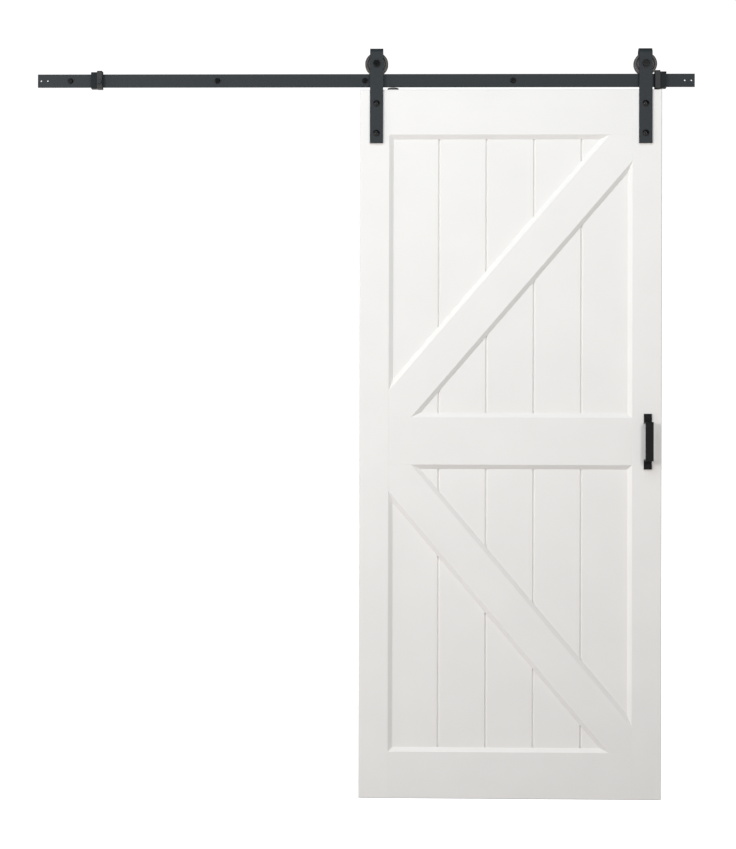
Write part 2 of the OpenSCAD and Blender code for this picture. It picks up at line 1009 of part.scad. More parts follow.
// A countersunk wood screw whose head is flush with z = 0
module wood_screw(d, length) {
    difference() {
        rotate_extrude()
            polygon([[0, 0], [d - hair, 0], [d / 2, d / 2], [d / 2, length - d], [0, length]]);
        for (turn = [0, 90])
            rotate([0, 0, turn])
                translate([-d / 2, -0.5, -1])
                    cube([d, 1, 1 + d / 4]);
    }
}

module handle_screws() {
    color(black)
        in_leaf()
            for (z = handle_screw_zs())
                translate([handle_x, -handle_t, z])
                    to_wall()
                        wood_screw(handle_screw_d, handle_screw_len);
}

// Pilot holes for the handle screws
module handle_screw_holes() {
    for (z = handle_screw_zs())
        bore_y(handle_x, -1, z, handle_screw_d + 2 * hair, handle_screw_len - handle_t + 2);
}

// Discs on the leaf's top edge that keep the wheels on the rail
module anti_jump_discs() {
    color(black)
        in_leaf()
            for (x = disc_xs)
                translate([x, disc_y, leaf_h])
                    difference() {
                        cylinder(d = disc_d, h = disc_t);
                        translate([0, 0, disc_t])
                            mirror([0, 0, 1])
                                countersunk_hole(disc_screw_d, disc_t);
                    }
}

module disc_screws() {
    color(bright)
        in_leaf()
            for (x = disc_xs)
                translate([x, disc_y, leaf_h + disc_t])
                    mirror([0, 0, 1])
                        wood_screw(disc_screw_d, disc_screw_len);
}

// Pilot hole for a disc screw
module disc_screw_hole(x) {
    depth = disc_screw_len - disc_t + 1;
    translate([x, disc_y, leaf_h - depth])
        cylinder(d = disc_screw_d + 2 * hair, h = depth + 1);
}

rail();
wall_spacers();
wall_washers();
wall_screws();
left_stop_block();
left_stop_buffer();
right_stop_block();
right_stop_buffer();
left_buffer_screw();
buffer_pins();
stop_grub_screws();
left_strap();
right_strap();
axle_bolts();
axle_nuts();
axle_sleeves();
strap_bolts();
strap_nuts();
strap_washers();
left_wheel();
left_bearing_outer_ring();
left_bearing_balls();
left_bearing_shields();
left_bearing_inner_ring();
right_wheel();
right_bearing_outer_ring();
right_bearing_balls();
right_bearing_shields();
right_bearing_inner_ring();
left_stile();
right_stile();
top_rail();
mid_rail();
bottom_rail();
upper_brace();
lower_brace();
frame_dowels();
upper_plank(1);  // upper_plank_1
upper_plank(2);  // upper_plank_2
upper_plank(3);  // upper_plank_3
upper_plank(4);  // upper_plank_4
upper_plank(5);  // upper_plank_5
lower_plank(1);  // lower_plank_1
lower_plank(2);  // lower_plank_2
lower_plank(3);  // lower_plank_3
lower_plank(4);  // lower_plank_4
lower_plank(5);  // lower_plank_5
pull_handle();
handle_screws();
anti_jump_discs();
disc_screws();
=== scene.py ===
"""Builds the finished look of a sliding barn door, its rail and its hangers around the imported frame."""

import math

import bmesh
import bpy
from bpy.props import FloatProperty, FloatVectorProperty, PointerProperty
from mathutils import Matrix, Vector


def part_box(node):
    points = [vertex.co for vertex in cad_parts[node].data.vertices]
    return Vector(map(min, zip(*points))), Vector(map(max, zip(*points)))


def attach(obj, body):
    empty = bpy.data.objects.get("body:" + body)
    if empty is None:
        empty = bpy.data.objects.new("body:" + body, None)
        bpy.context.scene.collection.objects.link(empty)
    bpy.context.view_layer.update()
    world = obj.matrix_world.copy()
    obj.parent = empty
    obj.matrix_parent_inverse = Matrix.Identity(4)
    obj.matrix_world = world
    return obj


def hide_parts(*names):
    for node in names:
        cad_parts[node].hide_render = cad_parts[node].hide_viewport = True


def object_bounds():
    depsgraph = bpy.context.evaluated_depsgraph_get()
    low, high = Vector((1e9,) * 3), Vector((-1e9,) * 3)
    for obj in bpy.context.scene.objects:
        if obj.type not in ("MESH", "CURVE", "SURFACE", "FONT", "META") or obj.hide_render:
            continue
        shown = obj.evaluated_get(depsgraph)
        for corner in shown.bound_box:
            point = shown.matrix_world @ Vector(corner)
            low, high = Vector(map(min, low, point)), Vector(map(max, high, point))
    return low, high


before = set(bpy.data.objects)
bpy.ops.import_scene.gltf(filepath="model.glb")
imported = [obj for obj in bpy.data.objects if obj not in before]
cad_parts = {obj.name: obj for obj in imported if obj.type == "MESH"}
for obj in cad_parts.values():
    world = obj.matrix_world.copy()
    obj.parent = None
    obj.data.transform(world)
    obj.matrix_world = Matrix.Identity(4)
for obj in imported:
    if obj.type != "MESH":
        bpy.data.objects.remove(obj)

bl_info = {
    "name": "Sliding Barn Door",
    "version": (1, 0, 0),
    "blender": (4, 5, 0),
    "location": "3D View > Sidebar > Barn Door",
    "description": "Builds a painted plank leaf, its strap hangers and its flat wall rail",
    "category": "Object",
}

CAD_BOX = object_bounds()
MM = 0.001

# Cleaning and shading of the frame's meshes
WELD = 0.002 * MM
FLAT_ANGLE = math.radians(0.3)
SHARP_ANGLE = math.radians(25)
SMOOTH_ANGLE = math.radians(50)
NORMAL_WEIGHT = 60

# Segments in one turn of a thread, a turned bar, a bolt's dome and a hexagonal head, and rings in a dome
THREAD_STEPS = 28
BAR_STEPS = 48
DOME_STEPS = 64
HEX_STEPS = 96
DOME_RINGS = 14

# Screw threads: radius of the crest and of the root, and pitch
LAG_CREST, LAG_ROOT, LAG_PITCH = 4.0 * MM, 3.0 * MM, 3.2 * MM
LAG_SHANK = 3.5 * MM
M12_CREST, M12_ROOT, M12_PITCH = 6.0 * MM, 5.1 * MM, 1.75 * MM
M8_CREST, M8_ROOT, M8_PITCH = 4.0 * MM, 3.4 * MM, 1.25 * MM
# How far a shank reaches into the head in front of it
INTO_HEAD = 0.1 * MM

WHEEL_DIAMETER = 70 * MM
RING_PITCH = 0.6 * MM

FLOOR_HALF_WIDTH = 40.0
# Camera: where it stands in metres, how it is turned in degrees, and its lens
CAMERA_PLACE = (0.107, -5.256, -1.051)
CAMERA_YAW, CAMERA_PITCH, CAMERA_ROLL = -1.22, 0.36, 0.17
LENS, LENS_SHIFT, SENSOR_WIDTH = 83.92, (0.0072, -0.0128), 36.0


# ---------- colours and materials ----------


def linear(hex_code):
    """Turns an sRGB hex value into linear red, green, blue and alpha."""
    levels = [int(hex_code[i : i + 2], 16) / 255 for i in (0, 2, 4)]
    return tuple(v / 12.92 if v <= 0.04045 else ((v + 0.055) / 1.055) ** 2.4 for v in levels) + (1.0,)


def add(tree, kind, settings=None, sockets=None, links=None):
    """Adds one node: its own settings, the values of its sockets, and the outputs that feed its sockets."""
    made = tree.nodes.new(kind)
    for name, value in (settings or {}).items():
        setattr(made, name, value)
    for name, value in (sockets or {}).items():
        made.inputs[name].default_value = value
    for name, output in (links or {}).items():
        tree.links.new(output, made.inputs[name])
    return made


def start_material(name):
    """Starts an empty node material, or clears the one of that name."""
    material = bpy.data.materials.get(name) or bpy.data.materials.new(name)
    material.use_nodes = True
    material.node_tree.nodes.clear()
    return material, material.node_tree


def end_material(tree, shader):
    """Joins a shader to the material's output."""
    add(tree, "ShaderNodeOutputMaterial", links={"Surface": shader.outputs["BSDF"]})


def part_coordinates(tree, turn=0.0):
    """Gives coordinates in metres that stay with the part, turned about the axis through the door's face."""
    place = add(tree, "ShaderNodeTexCoord")
    return add(
        tree,
        "ShaderNodeMapping",
        sockets={"Rotation": (0.0, turn, 0.0)},
        links={"Vector": place.outputs["Object"]},
    ).outputs["Vector"]


def shade_range(tree, value, dark, light):
    """Spreads a 0 to 1 pattern between two colours."""
    ramp = add(tree, "ShaderNodeValToRGB", links={"Fac": value})
    ramp.color_ramp.elements[0].color = dark
    ramp.color_ramp.elements[1].color = light
    ramp.color_ramp.elements[0].position = 0.3
    ramp.color_ramp.elements[1].position = 0.7
    return ramp.outputs["Color"]


def roughness_range(tree, value, low, high):
    """Spreads a 0 to 1 pattern between two roughness values."""
    return add(
        tree,
        "ShaderNodeMapRange",
        sockets={"To Min": low, "To Max": high},
        links={"Value": value},
    ).outputs["Result"]


def relief(tree, height, depth, below=None):
    """Turns a pattern into a bump of the given depth in metres, on top of another bump."""
    links = {"Height": height}
    if below:
        links["Normal"] = below
    return add(
        tree, "ShaderNodeBump", sockets={"Strength": 1.0, "Distance": depth}, links=links
    ).outputs["Normal"]


def tinted(colour, factor):
    """A linear colour made darker or lighter by a factor."""
    return tuple(min(1.0, c * factor) for c in colour[:3]) + (1.0,)


def satin_enamel(name, colour, turn):
    """White satin enamel, rolled onto planed poplar.

    The eye gets an even, slightly warm white with a soft sheen. A 2 mm roller stipple breaks the sheen, and
    the wood's grain telegraphs through as long low ridges about 5 mm apart, which run along each board.
    """
    material, tree = start_material(name)
    place = part_coordinates(tree, turn)
    stipple = add(
        tree,
        "ShaderNodeTexNoise",
        sockets={"Scale": 1 / (2.0 * MM), "Detail": 2.0, "Roughness": 0.6},
        links={"Vector": place},
    ).outputs["Fac"]
    stretched = add(
        tree,
        "ShaderNodeMapping",
        sockets={"Scale": (1 / (5 * MM), 1 / (5 * MM), 1 / (220 * MM))},
        links={"Vector": place},
    ).outputs["Vector"]
    grain = add(
        tree,
        "ShaderNodeTexNoise",
        sockets={"Scale": 1.0, "Detail": 4.0, "Roughness": 0.55, "Distortion": 0.3},
        links={"Vector": stretched},
    ).outputs["Fac"]
    cloud = add(
        tree,
        "ShaderNodeTexNoise",
        sockets={"Scale": 1 / (160 * MM), "Detail": 2.0},
        links={"Vector": place},
    ).outputs["Fac"]
    grained = relief(tree, grain, 0.05 * MM)
    rolled = relief(tree, stipple, 0.035 * MM, grained)
    shader = add(
        tree,
        "ShaderNodeBsdfPrincipled",
        sockets={"IOR": 1.5, "Metallic": 0.0},
        links={
            "Base Color": shade_range(tree, cloud, tinted(colour, 0.975), colour),
            "Roughness": roughness_range(tree, stipple, 0.46, 0.58),
            "Normal": rolled,
        },
    )
    end_material(tree, shader)
    return material


def powder_coat(name, colour, grit, depth, rough, speckle, gloss):
    """Polyester powder coat baked onto steel.

    The powder flows out into a fine pebbled skin. Its bumps are 0.3 to 1 mm across and catch the light as a
    dull grey sheen, with faint lighter specks where the film is thin.
    """
    material, tree = start_material(name)
    place = part_coordinates(tree)
    pebble = add(
        tree,
        "ShaderNodeTexVoronoi",
        settings={"feature": "SMOOTH_F1"},
        sockets={"Scale": 1 / grit, "Smoothness": 0.6},
        links={"Vector": place},
    ).outputs["Distance"]
    film = add(
        tree,
        "ShaderNodeTexNoise",
        sockets={"Scale": 1 / (5 * grit), "Detail": 4.0, "Roughness": 0.7},
        links={"Vector": place},
    ).outputs["Fac"]
    shader = add(
        tree,
        "ShaderNodeBsdfPrincipled",
        sockets={"IOR": 1.5, "Metallic": 0.0, "Specular IOR Level": gloss},
        links={
            "Base Color": shade_range(tree, film, tinted(colour, 1 - speckle), tinted(colour, 1 + speckle)),
            "Roughness": roughness_range(tree, film, rough - 0.06, rough + 0.06),
            "Normal": relief(tree, pebble, depth),
        },
    )
    end_material(tree, shader)
    return material


def black_zinc(name, colour):
    """Black passivated zinc plating on steel fasteners.

    A thin glossy film over a drawn surface: nearly black, with a clear highlight that breaks up slightly
    along marks 0.4 mm apart.
    """
    material, tree = start_material(name)
    place = part_coordinates(tree)
    marks = add(
        tree,
        "ShaderNodeTexNoise",
        sockets={"Scale": 1 / (0.4 * MM), "Detail": 3.0},
        links={"Vector": place},
    ).outputs["Fac"]
    shader = add(
        tree,
        "ShaderNodeBsdfPrincipled",
        sockets={
            "IOR": 1.5,
            "Metallic": 0.0,
            "Specular IOR Level": 0.16,
            "Coat Weight": 0.1,
            "Coat Roughness": 0.12,
        },
        links={
            "Base Color": shade_range(tree, marks, tinted(colour, 0.8), tinted(colour, 1.25)),
            "Roughness": roughness_range(tree, marks, 0.2, 0.34),
            "Normal": relief(tree, marks, 0.01 * MM),
        },
    )
    end_material(tree, shader)
    return material


def bright_steel(name, colour, rough, mark):
    """Zinc-plated or ground steel: a clear metal sheen with fine directionless marks."""
    material, tree = start_material(name)
    place = part_coordinates(tree)
    marks = add(
        tree,
        "ShaderNodeTexNoise",
        sockets={"Scale": 1 / mark, "Detail": 5.0, "Roughness": 0.7},
        links={"Vector": place},
    ).outputs["Fac"]
    shader = add(
        tree,
        "ShaderNodeBsdfPrincipled",
        sockets={"Metallic": 1.0},
        links={
            "Base Color": shade_range(tree, marks, tinted(colour, 0.88), colour),
            "Roughness": roughness_range(tree, marks, rough - 0.07, rough + 0.07),
            "Normal": relief(tree, marks, 0.008 * MM),
        },
    )
    end_material(tree, shader)
    return material


def turned_nylon(name, colour):
    """Glass-filled nylon, turned on a lathe.

    The tool leaves rings around the axle, so the dark, slightly warm plastic shows a soft sheen that runs
    round the wheel. They are drawn 0.6 mm apart, coarser than lathe rings usually are, so that they show.
    """
    material, tree = start_material(name)
    place = add(tree, "ShaderNodeTexCoord").outputs["Generated"]
    centred = add(
        tree,
        "ShaderNodeVectorMath",
        settings={"operation": "SUBTRACT"},
        links={0: place},
    )
    centred.inputs[1].default_value = (0.5, 0.5, 0.5)
    flat = add(
        tree,
        "ShaderNodeVectorMath",
        settings={"operation": "MULTIPLY"},
        links={0: centred.outputs["Vector"]},
    )
    flat.inputs[1].default_value = (WHEEL_DIAMETER, 0.0, WHEEL_DIAMETER)
    radius = add(
        tree,
        "ShaderNodeVectorMath",
        settings={"operation": "LENGTH"},
        links={0: flat.outputs["Vector"]},
    ).outputs["Value"]
    turns = add(
        tree,
        "ShaderNodeMath",
        settings={"operation": "MULTIPLY"},
        links={0: radius},
    )
    turns.inputs[1].default_value = 2 * math.pi / RING_PITCH
    rings = add(
        tree, "ShaderNodeMath", settings={"operation": "SINE"}, links={0: turns.outputs["Value"]}
    ).outputs["Value"]
    fleck = add(
        tree,
        "ShaderNodeTexNoise",
        sockets={"Scale": 1 / (1.5 * MM), "Detail": 4.0},
        links={"Vector": part_coordinates(tree)},
    ).outputs["Fac"]
    shader = add(
        tree,
        "ShaderNodeBsdfPrincipled",
        sockets={"IOR": 1.53, "Metallic": 0.0},
        links={
            "Base Color": shade_range(tree, fleck, tinted(colour, 0.85), tinted(colour, 1.15)),
            "Roughness": roughness_range(tree, fleck, 0.34, 0.46),
            "Normal": relief(tree, rings, 0.012 * MM),
        },
    )
    end_material(tree, shader)
    return material


def moulded_rubber(name, colour, grit, rough):
    """Rubber or soft plastic from a spark-eroded mould: matt, with an even skin of small pits."""
    material, tree = start_material(name)
    place = part_coordinates(tree)
    pits = add(
        tree,
        "ShaderNodeTexNoise",
        sockets={"Scale": 1 / grit, "Detail": 3.0, "Roughness": 0.6},
        links={"Vector": place},
    ).outputs["Fac"]
    shader = add(
        tree,
        "ShaderNodeBsdfPrincipled",
        sockets={"IOR": 1.52, "Metallic": 0.0},
        links={
            "Base Color": shade_range(tree, pits, tinted(colour, 0.85), tinted(colour, 1.12)),
            "Roughness": roughness_range(tree, pits, rough - 0.06, rough + 0.06),
            "Normal": relief(tree, pits, 0.05 * MM),
        },
    )
    end_material(tree, shader)
    return material


def bare_beech(name, colour):
    """Fluted beech dowel stock: short brown flecks 0.5 mm wide along the stick."""
    material, tree = start_material(name)
    stretched = add(
        tree,
        "ShaderNodeMapping",
        sockets={"Scale": (1 / (6 * MM), 1 / (0.5 * MM), 1 / (0.5 * MM))},
        links={"Vector": part_coordinates(tree)},
    ).outputs["Vector"]
    fleck = add(
        tree,
        "ShaderNodeTexNoise",
        sockets={"Scale": 1.0, "Detail": 4.0},
        links={"Vector": stretched},
    ).outputs["Fac"]
    shader = add(
        tree,
        "ShaderNodeBsdfPrincipled",
        sockets={"IOR": 1.5, "Metallic": 0.0},
        links={
            "Base Color": shade_range(tree, fleck, tinted(colour, 0.7), colour),
            "Roughness": roughness_range(tree, fleck, 0.6, 0.75),
            "Normal": relief(tree, fleck, 0.05 * MM),
        },
    )
    end_material(tree, shader)
    return material


# ---------- shaping tools ----------


def traced(*nodes):
    """Starts a mesh from the frame's own shapes: welded, with each flat face in one piece."""
    mesh = bmesh.new()
    for node in nodes:
        mesh.from_mesh(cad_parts[node].data)
    bmesh.ops.remove_doubles(mesh, verts=mesh.verts, dist=WELD)
    bmesh.ops.dissolve_limit(mesh, angle_limit=FLAT_ANGLE, verts=mesh.verts, edges=mesh.edges)
    return mesh


def eased(mesh, radius, steps=3):
    """Rounds every sharp edge, as a sander, a press or a thick coat does."""
    sharp = [e for e in mesh.edges if len(e.link_faces) == 2 and e.calc_face_angle(0.0) > SHARP_ANGLE]
    bmesh.ops.bevel(
        mesh,
        geom=sharp,
        offset=radius,
        offset_type="OFFSET",
        segments=steps,
        profile=0.5,
        affect="EDGES",
        clamp_overlap=True,
    )
    return mesh


def put(name, mesh, material, body, nodes):
    """Makes a mesh into a piece that moves with a body and stands for nodes of the frame."""
    flat = [f for f in mesh.faces if len(f.verts) > 4]
    bmesh.ops.triangulate(mesh, faces=flat)
    data = bpy.data.meshes.new(name)
    mesh.to_mesh(data)
    mesh.free()
    data.materials.append(material)
    for face in data.polygons:
        face.use_smooth = True
    data.set_sharp_from_angle(angle=SMOOTH_ANGLE)
    piece = bpy.data.objects.new(name, data)
    bpy.context.scene.collection.objects.link(piece)
    level = piece.modifiers.new("even_shading", "WEIGHTED_NORMAL")
    level.keep_sharp = True
    level.weight = NORMAL_WEIGHT
    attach(piece, body)
    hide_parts(*nodes)


def trace(node, name, radius, material, body, steps=3):
    """Makes one node of the frame into a finished piece with rounded edges."""
    put(name, eased(traced(node), radius, steps), material, body, [node])


def screw_thread(mesh, place, length, root, crest, pitch, point=0.0):
    """Winds a thread ridge along +Z of a placing matrix. Its last stretch may run down to a point."""
    count = max(2, int(length / pitch * THREAD_STEPS))
    half_root, half_crest = pitch * 0.42, pitch * 0.08
    rows = []
    for i in range(count + 1):
        angle = 2 * math.pi * i / THREAD_STEPS
        along = half_root + (length - 2 * half_root) * i / count
        runout = min(1.0, i / THREAD_STEPS * 2, (count - i) / THREAD_STEPS * 2)
        narrow = min(1.0, (length - along) / point) if point else 1.0
        low = max(root * narrow - 0.3 * MM, 0.05 * MM)
        high = low + 0.3 * MM + (crest - root) * max(runout, 0.02) * max(narrow, 0.4)
        turned = (math.cos(angle), math.sin(angle))
        row = []
        profile = ((low, -half_root), (high, -half_crest), (high, half_crest), (low, half_root))
        for radius, offset in profile:
            spot = Vector((radius * turned[0], radius * turned[1], along + offset))
            row.append(mesh.verts.new(place @ spot))
        rows.append(row)
    for near, far in zip(rows, rows[1:]):
        for k in range(4):
            mesh.faces.new((near[k], near[(k + 1) % 4], far[(k + 1) % 4], far[k]))
    mesh.faces.new(reversed(rows[0]))
    mesh.faces.new(rows[-1])


def turned_bar(mesh, place, outline, steps=BAR_STEPS):
    """Turns a closed outline of radius and height pairs about +Z of a placing matrix."""
    rings = []
    for radius, height in outline:
        if radius <= 0.0:
            rings.append([mesh.verts.new(place @ Vector((0.0, 0.0, height)))])
            continue
        ring = []
        for i in range(steps):
            angle = 2 * math.pi * i / steps
            spot = Vector((radius * math.cos(angle), radius * math.sin(angle), height))
            ring.append(mesh.verts.new(place @ spot))
        rings.append(ring)
    for low, high in zip(rings, rings[1:]):
        for i in range(steps):
            j = (i + 1) % steps
            corners = (low[i % len(low)], low[j % len(low)], high[j % len(high)], high[i % len(high)])
            unique = list(dict.fromkeys(corners))
            if len(unique) > 2:
                mesh.faces.new(unique)
    for ring, flip in ((rings[0], True), (rings[-1], False)):
        if len(ring) > 1:
            mesh.faces.new(reversed(ring) if flip else ring)


def hex_bar(mesh, place, across, height):
    """A hexagonal head or nut on +Z of a placing matrix, with its corners turned off at the top."""
    corner = across / math.sqrt(3)
    crown = across * 0.475
    turn_off = math.tan(math.radians(30))

    def hexagon(angle):
        part = math.fmod(angle, math.pi / 3)
        return across / 2 / math.cos(part - math.pi / 6)

    def ring_at(limit, low):
        ring = []
        for i in range(HEX_STEPS):
            angle = 2 * math.pi * i / HEX_STEPS
            radius = min(hexagon(angle), limit)
            drop = (radius - crown) * turn_off
            z = 0.0 if low else height - max(drop, 0.0)
            spot = Vector((radius * math.cos(angle), radius * math.sin(angle), z))
            ring.append(mesh.verts.new(place @ spot))
        return ring

    rings = [ring_at(corner, True), ring_at(corner, False), ring_at(crown, False)]
    for low, high in zip(rings, rings[1:]):
        for i in range(HEX_STEPS):
            j = (i + 1) % HEX_STEPS
            mesh.faces.new((low[i], low[j], high[j], high[i]))
    mesh.faces.new(reversed(rings[0]))
    mesh.faces.new(rings[-1])


def machine_shank(mesh, place, plain, whole, crest, root, pitch, chamfer, inset):
    """A bolt's shank along +Z: plain at first, then threaded up to a chamfered end.

    The thread's ridge stops an inset short of the end.
    """
    outline = [
        (crest, -INTO_HEAD),
        (crest, plain),
        (root, plain + chamfer),
        (root, whole - chamfer),
        (root - chamfer, whole),
    ]
    turned_bar(mesh, place, outline)
    start = Matrix.Translation((0.0, 0.0, plain))
    screw_thread(mesh, place @ start, whole - plain - inset, root, crest, pitch)


def solids_of(node):
    """The boxes of a node's separate solids, as (lowest corner, highest corner), from left to right."""
    mesh = bmesh.new()
    mesh.from_mesh(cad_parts[node].data)
    bmesh.ops.remove_doubles(mesh, verts=mesh.verts, dist=WELD)
    left, boxes = set(mesh.verts), []
    while left:
        seed = left.pop()
        group, queue = [seed], [seed]
        while queue:
            for edge in queue.pop().link_edges:
                for vert in edge.verts:
                    if vert in left:
                        left.remove(vert)
                        group.append(vert)
                        queue.append(vert)
        low = Vector([min(v.co[k] for v in group) for k in range(3)])
        high = Vector([max(v.co[k] for v in group) for k in range(3)])
        boxes.append((low, high))
    mesh.free()
    return sorted(boxes, key=lambda box: (round(box[0].x, 4), round(box[0].z, 4)))


def headed(node, seat_node):
    """The fasteners of a node whose heads sit on the front of another node.

    Each is (x, z, y of the seat, height of the head, its width along X and along Z, y of the tail's end).
    """
    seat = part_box(seat_node)[0][1]
    found = []
    for low, high in solids_of(node):
        centre, size = (low + high) / 2, high - low
        found.append((centre.x, centre.z, seat, seat - low.y, size.x, size.z, high.y))
    return found


def facing(x, y, z, to_wall):
    """A placing matrix at a point, whose +Z runs towards the wall or towards the room."""
    turn = Matrix.Rotation(math.radians(-90 if to_wall else 90), 4, "X")
    return Matrix.Translation((x, y, z)) @ turn


# ---------- settings ----------


class BarnDoorFinish(bpy.types.PropertyGroup):
    """Colours of the door and its hardware."""

    leaf_paint: FloatVectorProperty(
        name="Leaf paint",
        description="Colour of the enamel on the leaf",
        subtype="COLOR",
        size=4,
        default=linear("F1EFEB"),
    )
    steel_coat: FloatVectorProperty(
        name="Steel coat",
        description="Colour of the powder coat on the rail and hangers, and at half strength on the stops as painted shade",
        subtype="COLOR",
        size=4,
        default=linear("1F2528"),
    )
    handle_coat: FloatVectorProperty(
        name="Handle coat",
        description="Colour of the powder coat on the pull handle",
        subtype="COLOR",
        size=4,
        default=linear("0E0F10"),
    )
    fastener_black: FloatVectorProperty(
        name="Fastener black",
        description="Colour of the black zinc on bolts, nuts and screws",
        subtype="COLOR",
        size=4,
        default=linear("070708"),
    )
    wheel_nylon: FloatVectorProperty(
        name="Wheel nylon",
        description="Colour of the wheels and of the discs on the leaf",
        subtype="COLOR",
        size=4,
        default=linear("363330"),
    )
    buffer_rubber: FloatVectorProperty(
        name="Buffer rubber",
        description="Colour of the rubber stop buffers",
        subtype="COLOR",
        size=4,
        default=linear("101112"),
    )


class BarnDoorEdges(bpy.types.PropertyGroup):
    """How far each kind of edge is rounded."""

    wood: FloatProperty(
        name="Wood edges",
        description="Radius to which boards are sanded before they are painted",
        subtype="DISTANCE",
        unit="LENGTH",
        default=0.8 * MM,
    )
    plank: FloatProperty(
        name="Plank edges",
        description="Radius on the edges of the planks and their V joints",
        subtype="DISTANCE",
        unit="LENGTH",
        default=0.3 * MM,
    )
    plate: FloatProperty(
        name="Plate edges",
        description="Radius on the edges of the hanger straps",
        subtype="DISTANCE",
        unit="LENGTH",
        default=0.6 * MM,
    )
    stop: FloatProperty(
        name="Stop edges",
        description="Radius on the edges of the stop blocks and buffers",
        subtype="DISTANCE",
        unit="LENGTH",
        default=0.8 * MM,
    )
    handle: FloatProperty(
        name="Handle edges",
        description="Radius on the long edges of the pull handle",
        subtype="DISTANCE",
        unit="LENGTH",
        default=1.4 * MM,
    )
    fastener: FloatProperty(
        name="Fastener edges",
        description="Radius on the edges of bolts, nuts and washers",
        subtype="DISTANCE",
        unit="LENGTH",
        default=0.25 * MM,
    )


class BarnDoorStudio(bpy.types.PropertyGroup):
    """Light and floor of the studio."""

    key_power: FloatProperty(
        name="Key light",
        description="Power of the soft light at the left front",
        unit="POWER",
        default=74.0,
    )
    side_power: FloatProperty(
        name="Side light",
        description="Power of the broad light far to the left",
        unit="POWER",
        default=42.0,
    )
    fill_power: FloatProperty(
        name="Fill light",
        description="Power of the small soft light at the right front",
        unit="POWER",
        default=46.0,
    )
    top_power: FloatProperty(
        name="Top light",
        description="Power of the soft light above the front",
        unit="POWER",
        default=77.0,
    )
    ambient: FloatProperty(
        name="Ambient",
        description="Strength of the light that comes from all around",
        default=0.205,
    )
    floor_gap: FloatProperty(
        name="Floor gap",
        description="Distance from the leaf's bottom edge down to the floor",
        subtype="DISTANCE",
        unit="LENGTH",
        default=12 * MM,
    )


class BarnDoorSettings(bpy.types.PropertyGroup):
    """All settings of the barn door."""

    finish: PointerProperty(type=BarnDoorFinish)
    edges: PointerProperty(type=BarnDoorEdges)
    studio: PointerProperty(type=BarnDoorStudio)


# ---------- finishes of this door ----------


def enamel(context, grain):
    """The leaf's enamel with the grain upright, level, rising or falling to the right."""
    low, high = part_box("upper_brace")
    lean = math.atan2(high[2] - low[2], high[0] - low[0])
    turns = {
        "upright": 0.0,
        "level": math.pi / 2,
        "rising": lean - math.pi / 2,
        "falling": math.pi / 2 - lean,
    }
    colour = tuple(context.scene.barn_door.finish.leaf_paint)
    return satin_enamel(f"satin enamel on poplar, {grain} grain", colour, turns[grain])


def rail_coat(context):
    """Fine-textured charcoal powder coat on the rail, its spacers and the hangers."""
    colour = tuple(context.scene.barn_door.finish.steel_coat)
    return powder_coat("charcoal powder-coated steel", colour, 0.9 * MM, 0.06 * MM, 0.56, 0.2, 0.28)


def stop_coat_painted_shade(context):
    """The rail's powder coat on the stop blocks, duller, and at half the rail's colour as painted shade for
    the shadow of the buffers and straps.
    """
    # Painted shade: half the rail's colour stands in for the shadow that falls on the blocks.
    colour = tinted(tuple(context.scene.barn_door.finish.steel_coat), 0.5)
    return powder_coat("charcoal powder-coated steel with painted shade", colour, 0.9 * MM, 0.06 * MM, 0.56, 0.2, 0.16)


def handle_coat(context):
    """Smoother and darker powder coat on the pull handle."""
    colour = tuple(context.scene.barn_door.finish.handle_coat)
    return powder_coat("black powder-coated steel", colour, 0.7 * MM, 0.03 * MM, 0.5, 0.12, 0.12)


def fastener_zinc(context):
    """Black zinc on the bolts, nuts, washers and screws."""
    return black_zinc("black zinc-plated steel", tuple(context.scene.barn_door.finish.fastener_black))


def wheel_nylon(context):
    """Turned nylon of the wheels."""
    return turned_nylon("turned glass-filled nylon", tuple(context.scene.barn_door.finish.wheel_nylon))


def zinc(context):
    """Clear zinc on hidden pins, sleeves and disc screws."""
    return bright_steel("clear zinc-plated steel", linear("C3C6C9"), 0.38, 0.8 * MM)


def ground_steel(context):
    """Ground bearing steel of rings and balls."""
    return bright_steel("ground bearing steel", linear("CBCDCF"), 0.2, 0.5 * MM)


# ---------- track ----------


class BARN_DOOR_OT_rail(bpy.types.Operator):
    """Build the flat wall rail with its screw holes and joining holes"""

    bl_idname = "barn_door.rail"
    bl_label = "Rail"

    def execute(self, context):
        edges = context.scene.barn_door.edges
        trace("rail", "wall_rail", edges.fastener, rail_coat(context), "track")
        return {"FINISHED"}


class BARN_DOOR_OT_wall_fixings(bpy.types.Operator):
    """Build the spacers, washers and lag screws that hold the rail"""

    bl_idname = "barn_door.wall_fixings"
    bl_label = "Wall fixings"

    def execute(self, context):
        edges = context.scene.barn_door.edges
        coat, black = rail_coat(context), fastener_zinc(context)
        trace("wall_spacers", "rail_spacers", 2 * edges.fastener, coat, "track")
        trace("wall_washers", "rail_washers", edges.fastener, black, "track")
        mesh = bmesh.new()
        screws = headed("wall_screws", "wall_washers")
        for x, z, seat, head_height, _, across, _ in screws:
            hex_bar(mesh, facing(x, seat, z, False), across, head_height)
        eased(mesh, edges.fastener)
        for x, z, seat, _, _, _, tail in screws:
            place = facing(x, seat, z, True)
            plain, whole = -seat, tail - seat
            point = 2 * LAG_CREST
            outline = [
                (LAG_SHANK, -INTO_HEAD),
                (LAG_SHANK, plain - 0.5 * MM),
                (LAG_ROOT, plain),
                (LAG_ROOT, whole - point),
                (0.0, whole),
            ]
            turned_bar(mesh, place, outline)
            start = Matrix.Translation((0.0, 0.0, plain + 0.5 * MM))
            length = whole - plain - 1.5 * MM
            screw_thread(mesh, place @ start, length, LAG_ROOT, LAG_CREST, LAG_PITCH, point)
        put("lag_screws", mesh, black, "track", ["wall_screws"])
        return {"FINISHED"}


